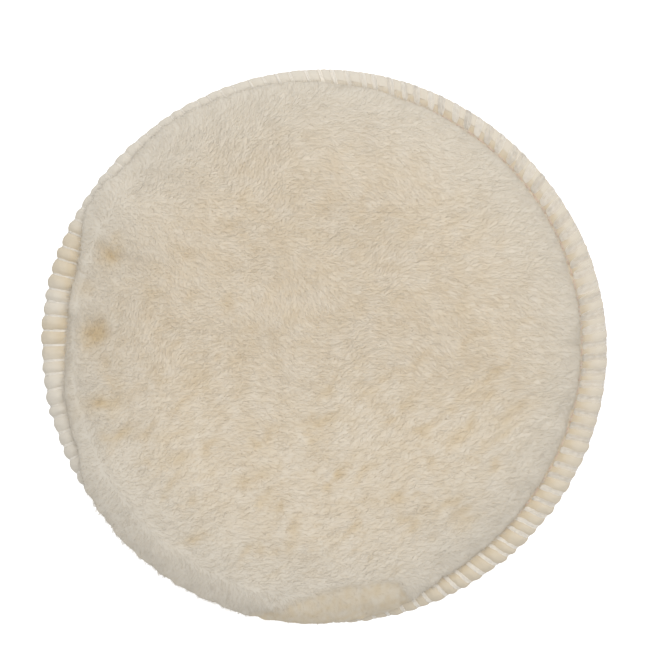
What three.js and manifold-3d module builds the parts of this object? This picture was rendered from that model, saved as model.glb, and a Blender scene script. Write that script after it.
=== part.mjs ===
// A 150 mm lambswool polishing pad. From the top down it is a sheared fleece on its tanned
// sheepskin, a foam cushion glued between two adhesive films, and a loop fabric that a backing
// plate's hooks grip. A three-thread overlock seam binds the skin and the loop fabric together
// all round. Millimetres, +Z up, the origin on the underside at the middle.

import * as THREE from 'three';
import { mergeVertices } from 'three/addons/utils/BufferGeometryUtils.js';
import Module from 'manifold-3d';

const wasm = await Module();
wasm.setup();

// Driving dimensions.
const PAD_RADIUS = 75;           // to the outside of the stitched rim
const STITCHES = 120;            // once round the rim
const FACETS = 60;               // straight sides that stand for a circle

const LOOP_PILE = 1.2;           // thickness of each layer
const LOOP_GROUND = 0.6;
const FILM = 0.15;
const FOAM = 3.0;
const HIDE = 1.2;
const PILE = 14.5;               // the fleece above the skin

const SEAM_BITE = 6.8;           // from the needle line to the outside of the rim
const THREAD = 0.35;             // a sewing thread's radius
const THREAD_SIDES = 3;
const THREAD_GAP = 0.05;         // a thread stands this far clear of what it lies on
const HOLE_LENGTH = 1.9;         // a needle hole, along the seam
const HOLE_WIDTH = 0.9;          // and across it
const LAYER_INSET = 2.6;         // the sewn layers end this far inside the rim's outside
const RIM_LIFT = 3.1;            // how far the loop fabric turns up to meet the skin
const RIM_RISE = 4.6;            // the width over which it does so
const CLEAR = 0.3;               // room left beside the seam for what lies within it

// Levels, from the bottom up.
const groundBottom = LOOP_PILE;
const groundTop = groundBottom + LOOP_GROUND;
const foamBottom = groundTop + FILM;
const foamTop = foamBottom + FOAM;
const hideBottom = foamTop + FILM;
const hideTop = hideBottom + HIDE;
const pileTop = hideTop + PILE;

// Radii, from the rim inwards.
const layerRadius = PAD_RADIUS - LAYER_INSET;
const needleRadius = PAD_RADIUS - SEAM_BITE;
const innerRadius = needleRadius - HOLE_WIDTH / 2 - CLEAR;
const flatRadius = innerRadius - RIM_RISE;

// Colours and finishes.
const FINISH = {
  wool: { color: 0xd5c8b4, roughness: 1.0, metalness: 0 },
  hide: { color: 0xcdb892, roughness: 0.8, metalness: 0 },
  film: { color: 0xe9e6dc, roughness: 0.35, metalness: 0 },
  foam: { color: 0xe6dfcf, roughness: 0.95, metalness: 0 },
  loopGround: { color: 0xded8ca, roughness: 0.85, metalness: 0 },
  loopPile: { color: 0xe8e3d8, roughness: 0.8, metalness: 0 },
  thread: { color: 0xe0d7c6, roughness: 0.6, metalness: 0 },
};

const pad = new THREE.Group();

function add(name, geometry, finish) {
  const mesh = new THREE.Mesh(geometry, new THREE.MeshStandardMaterial(finish));
  mesh.name = name;
  pad.add(mesh);
}

// A geometry whose shared corners are one vertex each, so that it is a closed body.
function closed(geometry) {
  geometry.deleteAttribute('normal');
  geometry.deleteAttribute('uv');
  return mergeVertices(geometry);
}

// A round piece from [radius, height] points that start and end on the axis, bottom first.
function turned(outline) {
  const points = outline.map(([radius, height]) => new THREE.Vector2(radius, height));
  return closed(new THREE.LatheGeometry(points, FACETS).rotateX(Math.PI / 2));
}

function disc(radius, bottom, top) {
  return turned([[0, bottom], [radius, bottom], [radius, top], [0, top]]);
}

// Needle holes: one slot for each stitch, drawn on the needle line.
function needleSlot(stitch) {
  const angle = (stitch + 0.5) / STITCHES * 2 * Math.PI;
  const half = HOLE_LENGTH / 2 / needleRadius;
  const inside = needleRadius - HOLE_WIDTH / 2;
  const outside = needleRadius + HOLE_WIDTH / 2;
  const corner = (radius, turn) => new THREE.Vector2(
    radius * Math.cos(angle + turn), radius * Math.sin(angle + turn));
  return [
    corner(outside, -half),
    corner(outside, half),
    corner(inside, half),
    corner(inside, -half),
  ];
}

function toSolid(geometry) {
  return new wasm.Manifold(new wasm.Mesh({
    numProp: 3,
    vertProperties: geometry.attributes.position.array,
    triVerts: Uint32Array.from(geometry.index.array),
  }));
}

function fromSolid(solid) {
  const mesh = solid.getMesh();
  const geometry = new THREE.BufferGeometry();
  geometry.setAttribute('position', new THREE.BufferAttribute(mesh.vertProperties, 3));
  geometry.setIndex(new THREE.BufferAttribute(mesh.triVerts, 1));
  return geometry;
}

// The same slots as solid pins, to cut a shaped layer with.
function needlePins(bottom, top) {
  const shapes = Array.from({ length: STITCHES }, (_, i) => new THREE.Shape(needleSlot(i)));
  const pins = new THREE.ExtrudeGeometry(shapes, { depth: top - bottom, bevelEnabled: false });
  return closed(pins.translate(0, 0, bottom));
}

// Sheepskin: a flat disc, pierced once for each stitch.
function hide() {
  const corners = Array.from({ length: FACETS }, (_, i) => new THREE.Vector2(
    layerRadius * Math.cos(i / FACETS * 2 * Math.PI),
    layerRadius * Math.sin(i / FACETS * 2 * Math.PI)));
  const outline = new THREE.Shape(corners);
  outline.holes = Array.from({ length: STITCHES }, (_, i) => new THREE.Path(needleSlot(i)));
  const skin = new THREE.ExtrudeGeometry(outline, { depth: HIDE, bevelEnabled: false });
  return closed(skin.translate(0, 0, hideBottom));
}

// Loop fabric's ground: flat under the foam, then turned up round the foam's edge to lie
// against the skin, where the seam goes through both.
function loopGround() {
  const rimBottom = groundBottom + RIM_LIFT;
  const rimTop = rimBottom + LOOP_GROUND;
  const dish = turned([
    [0, groundBottom],
    [flatRadius, groundBottom],
    [innerRadius, rimBottom],
    [layerRadius, rimBottom],
    [layerRadius, rimTop],
    [innerRadius - CLEAR, rimTop],
    [flatRadius - CLEAR, groundTop],
    [0, groundTop],
  ]);
  return fromSolid(toSolid(dish).subtract(toSolid(needlePins(0, hideTop))));
}

// Foam: its lower edge is bevelled where the loop fabric turns up round it.
function foam() {
  return turned([
    [0, foamBottom],
    [flatRadius - 2 * CLEAR, foamBottom],
    [innerRadius - 3 * CLEAR, foamTop - CLEAR],
    [innerRadius - 3 * CLEAR, foamTop],
    [0, foamTop],
  ]);
}

// Fleece: it stands on the skin inside the seam, swells a little over the stitches, and is
// shorn to a low crown. Each point of its side is [how far in from the rim, share of its height].
const FLEECE_SIDE = [
  [4.9, 0.30],
  [4.6, 0.52],
  [5.9, 0.75],
  [10.0, 0.91],
  [21.0, 0.98],
];

function fleece() {
  const threadTop = hideTop + 2 * THREAD + THREAD_GAP;
  const side = FLEECE_SIDE.map(([inset, share]) => [PAD_RADIUS - inset, hideTop + share * PILE]);
  return turned([
    [0, hideTop],
    [innerRadius, hideTop],
    [innerRadius, threadTop],
    [needleRadius, threadTop + CLEAR],
    ...side,
    [0, pileTop],
  ]);
}

// A seam thread's route, once round the rim. A lap is one stitch: points of [share of the
// stitch, radius, height], which every stitch repeats.
class SeamRoute extends THREE.Curve {
  constructor(lap) {
    super();
    this.lap = lap;
    this.steps = lap.length * STITCHES;
  }

  corner(step) {
    const turn = (step + this.steps) % this.steps;
    const [share, radius, height] = this.lap[turn % this.lap.length];
    const stitch = Math.floor(turn / this.lap.length);
    const angle = (stitch + share) / STITCHES * 2 * Math.PI;
    return new THREE.Vector3(radius * Math.cos(angle), radius * Math.sin(angle), height);
  }

  getPointAt(u, target = new THREE.Vector3()) {
    return target.copy(this.corner(Math.round(u * this.steps)));
  }

  getTangentAt(u, target = new THREE.Vector3()) {
    const step = Math.round(u * this.steps);
    const towards = this.corner(step + 1).sub(this.corner(step)).normalize();
    const from = this.corner(step).sub(this.corner(step - 1)).normalize();
    return target.copy(towards.add(from).normalize());
  }
}

function seamThread(lap) {
  const route = new SeamRoute(lap);
  return closed(new THREE.TubeGeometry(route, route.steps, THREAD, THREAD_SIDES, true));
}

const above = hideTop + THREAD + THREAD_GAP;                    // a thread's middle on the skin
const below = groundBottom + RIM_LIFT - THREAD - THREAD_GAP;    // and under the loop fabric
const edge = PAD_RADIUS - THREAD;
const shoulder = layerRadius + THREAD + THREAD_GAP;
const looped = needleRadius + 2 * THREAD + 2 * THREAD_GAP;      // where a looper turns back
const meetAbove = (above + below) / 2 + THREAD + THREAD_GAP;    // the loopers meet on the edge
const meetBelow = (above + below) / 2 - THREAD - THREAD_GAP;

add('wool_pile', fleece(), FINISH.wool);
add('sheepskin_hide', hide(), FINISH.hide);
add('upper_adhesive_film', disc(innerRadius - 3 * CLEAR, foamTop, hideBottom), FINISH.film);
add('cushion_foam', foam(), FINISH.foam);
add('lower_adhesive_film', disc(flatRadius - 2 * CLEAR, groundTop, foamBottom), FINISH.film);
add('loop_fabric_ground', loopGround(), FINISH.loopGround);
add('loop_pile', disc(flatRadius, 0, groundBottom), FINISH.loopPile);

// The needle thread dips through each hole and comes up again through the same one.
add('needle_thread', seamThread([
  [0.40, needleRadius, above],
  [0.50, needleRadius, below],
  [0.60, needleRadius, above],
]), FINISH.thread);

// The upper looper's thread crosses the top of the rim out to the edge and back again.
add('upper_looper_thread', seamThread([
  [0.00, edge, meetAbove],
  [0.18, shoulder, above],
  [0.40, looped, above],
  [0.60, looped, above],
  [0.82, shoulder, above],
]), FINISH.thread);

// The lower looper's thread does the same across the underside.
add('lower_looper_thread', seamThread([
  [0.00, edge, meetBelow],
  [0.18, shoulder, below],
  [0.40, looped, below],
  [0.60, looped, below],
  [0.82, shoulder, below],
]), FINISH.thread);

export default pad;
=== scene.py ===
# %% [markdown]
# # A lambswool polishing pad
# The pad is a disc of sheared fleece on its own skin, sewn round the edge to a loop fabric that a
# polisher's backing plate grips. It could be drawn as one lump with a fur picture on it. It is
# made here the way it is sewn: the fleece, the skin, the foam, the two cloths and the three
# threads of the seam are separate pieces, and the wool and the loops are real fibres.

# %% Load the frame
import bpy
import math
import numpy as np
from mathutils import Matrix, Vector, noise


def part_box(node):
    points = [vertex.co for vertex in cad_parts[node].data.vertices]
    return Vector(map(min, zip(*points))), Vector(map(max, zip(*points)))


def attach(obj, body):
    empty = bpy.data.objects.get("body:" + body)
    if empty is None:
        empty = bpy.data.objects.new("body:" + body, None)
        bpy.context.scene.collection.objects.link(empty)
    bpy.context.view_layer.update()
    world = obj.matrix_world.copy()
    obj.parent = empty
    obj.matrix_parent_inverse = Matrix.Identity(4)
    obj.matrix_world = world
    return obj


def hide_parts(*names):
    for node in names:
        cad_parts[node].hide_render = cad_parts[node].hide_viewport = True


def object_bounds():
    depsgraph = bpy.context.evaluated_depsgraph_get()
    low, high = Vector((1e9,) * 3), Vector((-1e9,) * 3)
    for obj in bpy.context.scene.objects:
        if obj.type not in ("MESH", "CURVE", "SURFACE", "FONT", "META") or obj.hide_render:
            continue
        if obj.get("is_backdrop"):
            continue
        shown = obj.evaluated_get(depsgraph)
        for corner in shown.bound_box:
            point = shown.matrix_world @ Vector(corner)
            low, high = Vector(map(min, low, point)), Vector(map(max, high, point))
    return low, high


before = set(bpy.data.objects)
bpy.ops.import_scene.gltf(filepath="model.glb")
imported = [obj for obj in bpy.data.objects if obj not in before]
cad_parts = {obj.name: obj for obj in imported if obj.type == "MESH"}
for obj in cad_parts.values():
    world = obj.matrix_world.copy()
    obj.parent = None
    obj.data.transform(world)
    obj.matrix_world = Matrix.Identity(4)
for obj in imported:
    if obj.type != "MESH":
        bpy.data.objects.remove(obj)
cad_low, cad_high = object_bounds()
MM = 0.001
TURN = 2 * math.pi
SHOWN = {}
print("frame box in mm:", [round(1000 * (b - a), 1) for a, b in zip(cad_low, cad_high)])

# %% [markdown]
# ## The sizes that everything shares
# The levels and radii come from the frame's own nodes, so that each piece lands on its
# neighbour. Every stitch covers the same share of a turn.

# %% Levels and radii
PAD_RADIUS = cad_high.x
SKIN_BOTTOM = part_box("sheepskin_hide")[0].z
SKIN_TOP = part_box("sheepskin_hide")[1].z
PILE_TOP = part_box("wool_pile")[1].z
GROUND_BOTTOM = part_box("loop_fabric_ground")[0].z
GROUND_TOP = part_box("loop_fabric_ground")[1].z
LOOPS_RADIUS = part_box("loop_pile")[1].x
THREAD_RADIUS = 0.35 * MM
NEEDLE_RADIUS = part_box("needle_thread")[1].x - THREAD_RADIUS
STITCHES = 120                # one for each needle hole of the frame; a real pad has nearer 110
print("needle line", round(NEEDLE_RADIUS / MM, 2), "skin top", round(SKIN_TOP / MM, 2))


# %% [markdown]
# ## A hand-cut outline
# A sewn pad is never a true circle: the skin is cut by hand and the seam draws it in more in
# some places than in others. Three slow waves round the rim give that. They take the radius in
# by up to a millimetre and a half, and out by a third of one.

# %% The outline
def rim_radius(angle):
    """How far the rim's outside is from the middle, in the direction of angle."""
    waves = -0.55 + 0.29 * np.cos(angle + 1.68) + 0.70 * np.cos(2 * angle + 0.40)
    return PAD_RADIUS + MM * (waves + 0.18 * np.cos(4 * angle))


def round_trip(knots, angle):
    """A value round the rim, straight between its knots, which are (degrees, value)."""
    degrees = np.degrees(angle) % 360
    at = np.array([k[0] for k in knots], float)
    value = np.array([k[1] for k in knots], float)
    turn = np.concatenate([at - 360, at, at + 360])
    return np.interp(degrees, turn, np.tile(value, 3))


print("rim from", round(rim_radius(np.linspace(0, TURN, 720)).min() / MM, 1),
      "to", round(rim_radius(np.linspace(0, TURN, 720)).max() / MM, 1), "mm")


# %% [markdown]
# ## Small helpers for meshes
# Numpy works out the places of thousands of points at once, and one call hands them to Blender.

# %% Mesh helpers
def new_object(name, data):
    """A new object in the scene, at the origin."""
    made = bpy.data.objects.new(name, data)
    bpy.context.scene.collection.objects.link(made)
    return made


def make_mesh(name, points, faces, smooth=True):
    """A new object from points and faces, at the origin, with its place in its mesh."""
    mesh = bpy.data.meshes.new(name)
    mesh.from_pydata([tuple(p) for p in points], [], faces)
    mesh.validate()
    mesh.polygons.foreach_set("use_smooth", [smooth] * len(mesh.polygons))
    return new_object(name, mesh)


def ring_faces(rows, columns, wrap_rows):
    """Four-sided faces over rows of points that each go once round."""
    faces = []
    for i in range(rows if wrap_rows else rows - 1):
        below = i * columns
        above = (i + 1) % rows * columns
        for j in range(columns):
            beside = (j + 1) % columns
            faces.append((below + j, below + beside, above + beside, above + j))
    return faces


def mark(made, name, values, kind="FLOAT"):
    """Writes one value for each point of a mesh, for a material or a tree of nodes to read."""
    field = made.data.attributes.new(name, kind, "POINT")
    key = "vector" if kind == "FLOAT_VECTOR" else "value"
    field.data.foreach_set(key, np.asarray(values, np.float32).ravel())


def read_points(made, value):
    found = np.zeros(len(made.data.vertices) * 3)
    made.data.vertices.foreach_get(value, found)
    return found.reshape(-1, 3)


def points_of(made):
    return read_points(made, "co")


def move_points(made, places):
    made.data.vertices.foreach_set("co", places.ravel())
    made.data.update()


def mesh_now(made, live):
    """The mesh that a modifier gives, as a plain new mesh. The modifier is then taken off."""
    shape = made.evaluated_get(bpy.context.evaluated_depsgraph_get())
    mesh = bpy.data.meshes.new_from_object(shape)
    made.modifiers.remove(live)
    return mesh


def triangles(made):
    made.data.calc_loop_triangles()
    return len(made.data.loop_triangles)


def keep(made, slot, *nodes):
    """Puts a finished piece on the pad: it rides and stands for its nodes; its slot is not used."""
    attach(made, "root")
    if nodes:
        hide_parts(*nodes)
    SHOWN[made.name] = triangles(made)
    print(made.name, SHOWN[made.name], "triangles")


# %% [markdown]
# ## Small helpers for trees of nodes
# A tree is a list of steps. One helper places a step and joins what is fed to it, so that each
# tree below reads from its first step to its last.

# %% Node helpers
TRIES = 3.2                   # points tried for each one wanted, before the near ones are dropped
APART = 0.66                  # the least gap between points, where 1 is a square grid's


def step(tree, kind, settings=None, **fed):
    """Places one node. Fed names are its sockets, or in3 for the fourth; a socket is linked."""
    made = tree.nodes.new(kind)
    for key, value in (settings or {}).items():
        setattr(made, key, value)
    for key, value in fed.items():
        number = key[2:] if key.startswith("in") and key[2:].isdigit() else None
        socket = made.inputs[int(number) if number else key.replace("_", " ")]
        if isinstance(value, bpy.types.NodeSocket):
            tree.links.new(value, socket)
        else:
            socket.default_value = value
    return made


def maths(tree, operation, *fed):
    """A number worked out from others."""
    names = {f"in{i}": value for i, value in enumerate(fed)}
    return step(tree, "ShaderNodeMath", {"operation": operation}, **names).outputs[0]


def vectors(tree, operation, *fed):
    """A vector worked out from others."""
    names = {f"in{i}": value for i, value in enumerate(fed)}
    made = step(tree, "ShaderNodeVectorMath", {"operation": operation}, **names)
    return made.outputs["Value" if operation == "DOT_PRODUCT" else "Vector"]


def scaled(tree, vector, by):
    made = step(tree, "ShaderNodeVectorMath", {"operation": "SCALE"}, in0=vector, Scale=by)
    return made.outputs[0]


def spanned(tree, value, start=0.0, stop=1.0, low=0.0, high=1.0):
    """A number that goes from low to high while value goes from start to stop."""
    return step(tree, "ShaderNodeMapRange", in0=value, in1=start, in2=stop, in3=low,
                in4=high).outputs[0]


def field(tree, name, kind="FLOAT"):
    """A value that was marked on the mesh, as a tree of geometry reads it."""
    return step(tree, "GeometryNodeInputNamedAttribute", {"data_type": kind}, Name=name).outputs[0]


def random_between(tree, low, high, seed):
    made = step(tree, "FunctionNodeRandomValue", {"data_type": "FLOAT"}, in2=low, in3=high,
                in8=seed)
    return made.outputs[1]


def scatter(tree, mesh, per_area, share, seed):
    """Points spread evenly over a mesh, none too near another, fewer where share is low."""
    return step(tree, "GeometryNodeDistributePointsOnFaces", {"distribute_method": "POISSON"},
                Mesh=mesh, Seed=seed, Density_Factor=share,
                Density_Max=maths(tree, "MULTIPLY", per_area, TRIES),
                Distance_Min=maths(tree, "DIVIDE", APART, maths(tree, "SQRT", per_area)))


def tube_of(tree, line, section, **thick):
    return step(tree, "GeometryNodeCurveToMesh", Curve=line, Profile_Curve=section,
                Fill_Caps=True, **thick).outputs[0]


def tinted_mesh(tree, grown, seed, finish):
    """Instances as real mesh with their finish, each with a random tint of its own."""
    tinted = step(tree, "GeometryNodeStoreNamedAttribute",
                  {"data_type": "FLOAT", "domain": "INSTANCE"}, Geometry=grown.outputs[0],
                  Name="tint", Value=random_between(tree, 0.0, 1.0, seed)).outputs[0]
    return real_mesh(tree, tinted, finish)


def real_mesh(tree, shapes, finish):
    real = step(tree, "GeometryNodeRealizeInstances", Geometry=shapes).outputs[0]
    return step(tree, "GeometryNodeSetMaterial", Geometry=real, Material=finish).outputs[0]


def new_tree(name, kind, inputs, outputs):
    """An empty tree or group with named inputs and outputs: (its name, its socket, its value)."""
    tree = bpy.data.node_groups.new(name, kind)
    for title, socket, value in inputs:
        made = tree.interface.new_socket(title, in_out="INPUT", socket_type=socket)
        if value is not None:
            made.default_value = value
    for title, socket in outputs:
        tree.interface.new_socket(title, in_out="OUTPUT", socket_type=socket)
    given = tree.nodes.new("NodeGroupInput")
    result = tree.nodes.new("NodeGroupOutput")
    return tree, given.outputs, result.inputs


def run_tree(name, host, tree, values):
    """Runs a tree on a host mesh or curve and gives back the result as a plain new mesh."""
    live = host.modifiers.new(tree.name, "NODES")
    live.node_group = tree
    for socket in tree.interface.items_tree:
        if socket.in_out == "INPUT" and socket.name in values:
            live[socket.identifier] = values[socket.name]
    host.update_tag()
    mesh = mesh_now(host, live)
    mesh.name = name
    return new_object(name, mesh)


# %% [markdown]
# ## The fleece's body
# Under its tips a fleece is so dense that no light passes, so it has a solid body that the loose
# wool grows out of. The body starts as a low drum with rounded shoulders. In some places it is
# combed out over the seam, in others it stops at the needle line and the stitches show. The
# table of where is set for one pad.

# %% How far the wool covers the seam
COVER = [  # (degrees round the rim, share of the stitched band that the wool hides)
    (0, 0.00), (45, 0.00), (62, 0.04), (80, 0.18), (98, 0.42), (122, 0.64), (132, 0.60),
    (139, 0.50), (146, 0.80), (152, 0.66), (159, 0.20), (166, 0.10), (180, 0.14), (192, 0.34),
    (203, 0.50), (211, 0.95), (224, 1.12), (255, 1.12), (270, 0.98), (286, 0.72), (297, 0.22),
    (312, 0.06), (332, 0.00),
]
TIP_REACH = 1.3 * MM          # how far the loose tips stand out beyond the body
SHOULDER = 15.0 * MM          # how far in from its side the drum's shoulder starts
SLOPE = 0.55                  # how gently the side rises: 1 is upright at its foot
CROWN = 1.2 * MM              # how much higher the middle is than the shoulder
SWELL_CAP = 1.3 * MM          # how far the cloth may move any point of the body
BODY_TOP = PILE_TOP - TIP_REACH - SWELL_CAP


def wool_edge(angle):
    """Where the fleece's side stands, in the direction of angle."""
    band = rim_radius(angle) - NEEDLE_RADIUS
    return NEEDLE_RADIUS + band * round_trip(COVER, angle) - TIP_REACH * 0.3


def drum_profile(angle):
    """The body's side from the skin to the middle of its top, as rows of radius and height."""
    edge = wool_edge(angle)
    over = np.clip(round_trip(COVER, angle), 0, 1)
    root = NEEDLE_RADIUS - 1.0 * MM
    shoulder_low = SKIN_TOP + (0.8 + 0.6 * over) * MM
    rows = [(root, SKIN_TOP + 0.05 * MM), (root + 0.25 * (edge - root), SKIN_TOP + 0.4 * MM)]
    rows.append((root + 0.8 * (edge - root), shoulder_low - 0.3 * MM))
    for part in np.linspace(0, 1, 11):
        swing = part * math.pi / 2
        rows.append((edge - SHOULDER * (1 - math.cos(swing)) ** SLOPE,
                     shoulder_low + (BODY_TOP - CROWN - shoulder_low) * math.sin(swing)))
    for part in (0.85, 0.7, 0.52, 0.34, 0.17):
        rows.append(((edge - SHOULDER) * part, BODY_TOP - CROWN * part * part))
    return rows


SPOKES = 180
around = np.linspace(0, TURN, SPOKES, endpoint=False)
profile = [(np.broadcast_to(r, SPOKES), np.broadcast_to(z, SPOKES))
           for r, z in drum_profile(around)]
points = [(r[j] * math.cos(a), r[j] * math.sin(a), z[j])
          for r, z in profile for j, a in enumerate(around)]
faces = ring_faces(len(profile), SPOKES, wrap_rows=False)
points.append((0, 0, BODY_TOP))
last = (len(profile) - 1) * SPOKES
faces += [(last + j, last + (j + 1) % SPOKES, len(points) - 1) for j in range(SPOKES)]
faces.append(tuple(reversed(range(SPOKES))))
fleece = make_mesh("fleece_body", points, faces)
print("drum", len(points), "points")

# %% [markdown]
# ## Swelling the body with cloth
# The drum is too regular for something that grew. It is given even squares, its underside is
# pinned to the skin, and it is blown up a little as cloth, so that it crowns and settles the
# way a stuffed thing does. A cap keeps each point near its start.

# %% Cloth simulation
VOXEL = 3.2 * MM
STIFFNESS = 12                # of the cloth, when stretched or squeezed
PRESSURE = 4.0
CLOTH_FRAMES = 20
PINNED_BAND = 2.0 * MM        # how far above the skin the body is held still


def remesh(made, size):
    live = made.modifiers.new("even squares", "REMESH")
    live.mode = "VOXEL"
    live.voxel_size = size
    live.use_smooth_shade = True
    made.data = mesh_now(made, live)


def swell(made, pinned, cap):
    """Blows a closed mesh up as cloth for a few frames, and keeps the result."""
    before = points_of(made)
    group = made.vertex_groups.new(name="pinned")
    group.add([int(i) for i in np.flatnonzero(pinned)], 1.0, "REPLACE")
    live = made.modifiers.new("cloth", "CLOTH")
    live.settings.quality = 5
    live.settings.mass = 0.3
    live.settings.tension_stiffness = STIFFNESS
    live.settings.compression_stiffness = STIFFNESS
    live.settings.bending_stiffness = 0.6
    live.settings.use_pressure = True
    live.settings.uniform_pressure_force = PRESSURE
    live.settings.vertex_group_mass = "pinned"
    live.settings.effector_weights.gravity = 0
    for frame_number in range(1, CLOTH_FRAMES + 1):
        bpy.context.scene.frame_set(frame_number)
    shape = made.evaluated_get(bpy.context.evaluated_depsgraph_get())
    after = np.array([v.co for v in shape.data.vertices], float)
    made.modifiers.remove(live)
    made.vertex_groups.clear()
    bpy.context.scene.frame_set(1)
    move = after - before
    far = np.linalg.norm(move, axis=1, keepdims=True)
    move *= np.minimum(1, cap / np.maximum(far, 1e-9))
    move_points(made, before + move)
    return float(far.mean())


remesh(fleece, VOXEL)
low = points_of(fleece)[:, 2] < SKIN_TOP + PINNED_BAND
print("cloth moved", round(swell(fleece, low, SWELL_CAP) / MM, 2), "mm on average")
print("fleece after cloth", len(fleece.data.vertices), "points")

# %% [markdown]
# ## Seating the edge again
# Even squares round every corner off, and cloth pulls its edge in. The body's side is moved
# back out, direction by direction, to where the wool should end over the seam.

# %% Seat the edge
def seat_edge(made, sectors):
    """Moves the outer part of the body in or out until its side is at the wool's edge."""
    places = points_of(made)
    angle = np.arctan2(places[:, 1], places[:, 0]) % TURN
    far = np.hypot(places[:, 0], places[:, 1])
    sector = np.round(angle / TURN * sectors).astype(int) % sectors
    widest = np.array([far[sector == i].max() for i in range(sectors)])
    middles = np.arange(sectors) / sectors * 360
    wanted = wool_edge(angle) - round_trip(list(zip(middles, widest)), angle)
    share = np.clip((far / NEEDLE_RADIUS - 0.62) / 0.30, 0, 1)
    moved = (far + wanted * share * share) / np.maximum(far, 1e-6)
    places[:, 0] *= moved
    places[:, 1] *= moved
    move_points(made, places)
    return float(np.abs(wanted).max())


print("edge moved by up to", round(seat_edge(fleece, 90) / MM, 2), "mm")


# %% [markdown]
# ## Which way the wool lies
# Sheared wool hardly leans in the middle. Lower down it was brushed to one side and lies in
# streaks, and at the rim it falls outwards over the edge. Here and there two locks part and the
# warmer wool below shows. These are fields: one value for each point of the body, which the
# fibres and the colours read later.

# %% Combing and partings
PARTINGS = [  # (x, y, half length, half width, turn in degrees, how open), the lengths in mm
    (-56.4, 24.0, 4.6, 3.4, 70, 0.75), (-61.0, 2.6, 5.4, 3.2, 70, 1.0),
    (-57.5, -7.0, 6.5, 1.9, 115, 0.40), (-58.5, -15.5, 6.5, 2.7, 5, 0.80),
    (-54.5, -23.5, 5.0, 2.0, 20, 0.65), (-63.5, 15.0, 3.0, 2.4, 80, 0.35),
    (-45.0, 13.0, 3.5, 1.8, 40, 0.22), (44.0, -8.0, 7.0, 1.7, 50, 0.45),
    (49.0, -18.0, 7.5, 1.6, 28, 0.45), (36.0, -24.0, 6.0, 1.6, 35, 0.45),
    (-22.0, -2.0, 5.0, 2.2, 40, 0.30), (-26.0, 12.0, 4.0, 2.6, 30, 0.22),
    (-34.0, -9.0, 5.0, 1.8, 25, 0.40), (-18.0, -34.0, 6.0, 1.8, 20, 0.45),
    (-34.0, -50.0, 4.5, 1.6, 25, 0.55), (-20.0, -54.0, 4.0, 1.3, 50, 0.55),
    (20.0, 12.0, 4.0, 1.8, 45, 0.15), (24.0, -46.0, 6.5, 1.5, 55, 0.50),
    (33.0, -41.0, 5.5, 1.4, 50, 0.45), (-8.0, -50.0, 5.0, 1.4, 65, 0.45),
    (-4.0, -20.0, 4.0, 1.8, 35, 0.35), (10.0, -33.0, 6.0, 1.6, 42, 0.40),
    (-40.0, -30.0, 5.0, 1.8, 20, 0.45), (52.0, 6.0, 5.0, 1.5, 10, 0.35),
]
SHORN = [  # (degrees, how far in from the rim the wool is worn short, in mm)
    (248, -2.0), (255, 1.0), (260, 5.0), (264, 8.0), (269, 10.0), (274, 12.0), (282, 11.8),
    (287, 10.3), (290, 0.0), (294, -2.0),
]


def falloff(value, start, stop):
    """Rises smoothly from 0 at start to 1 at stop."""
    share = np.clip((value - start) / (stop - start), 0, 1)
    return share * share * (3 - 2 * share)


def noise_at(places, size, seed):
    """Smooth noise from about -1 to 1 at each place, with lumps of the given size."""
    lift = Vector((seed * 7.3, seed * 3.1, seed * 5.7))
    return np.array([noise.noise(Vector(p) / size + lift) for p in places]) * 1.6


def combing(places):
    """The direction in which the wool's tips lean at each place, and how far they do."""
    x, y = places[:, 0] / MM, places[:, 1] / MM
    outwards = np.arctan2(y, x)
    far = np.hypot(places[:, 0], places[:, 1])
    at_rim = falloff(far, 0.84 * PAD_RADIUS, 0.95 * PAD_RADIUS)
    lower = falloff(-y, -12, 28)
    brushed = np.maximum(lower, 0.6 * falloff(x + 0.6 * y, 5, 55))
    slope = np.radians(lower * (20 + 21 * falloff(x, -25, 25) * (1 - 0.6 * falloff(x, 48, 66))))
    wander = 1.1 * noise_at(places, 24 * MM, 1) + 0.5 * noise_at(places, 8 * MM, 2)
    turn = slope + (1 - 0.72 * brushed) * wander
    c = (1 - at_rim) * np.cos(turn) + at_rim * np.cos(outwards)
    s = (1 - at_rim) * np.sin(turn) + at_rim * np.sin(outwards)
    lying = np.clip(0.45 + 0.55 * np.maximum(brushed, at_rim), 0, 1)
    return np.stack([c, s, -0.8 * at_rim], 1), lying


def parted(places):
    """How open the wool is at each place, from 0 where it is closed to 1."""
    x = places[:, 0] / MM + 1.3 * noise_at(places, 5 * MM, 15)
    y = places[:, 1] / MM + 1.3 * noise_at(places, 5 * MM, 16)
    far = np.hypot(x, y) * MM / PAD_RADIUS
    ripple = noise_at(places, 2.6 * MM, 3)
    slant = np.stack([0.8 * x + 0.6 * y, 2.4 * (0.8 * y - 0.6 * x), 0 * x], 1) * MM
    small = noise_at(slant, 8.0 * MM, 4) + 0.35 * ripple
    depth = 0.16 + 0.52 * falloff(-y, -20, 35) - 0.7 * falloff(far, 0.72, 0.9)
    result = np.clip(small - 0.30, 0, 1) * np.clip(depth, 0, 1)
    for px, py, along, across, turn, open_by in PARTINGS:
        c, s = math.cos(math.radians(turn)), math.sin(math.radians(turn))
        u, v = (x - px) * c + (y - py) * s, (y - py) * c - (x - px) * s
        near = np.exp(-1.3 * ((u / along) ** 2 + (v / across) ** 2)) * (1 + 0.35 * ripple)
        result = np.maximum(result, near * open_by)
    return np.clip(result, 0, 1)


def shorn(places):
    """1 where the wool at the rim is worn short, and 0 elsewhere."""
    angle = np.arctan2(places[:, 1], places[:, 0])
    inset = (rim_radius(angle) - np.hypot(places[:, 0], places[:, 1])) / MM
    ragged = noise_at(places, 6 * MM, 6) + 0.5 * noise_at(places, 2.2 * MM, 5)
    return falloff(round_trip(SHORN, angle) + 0.9 * ragged - inset, -0.6, 2.2)


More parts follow.
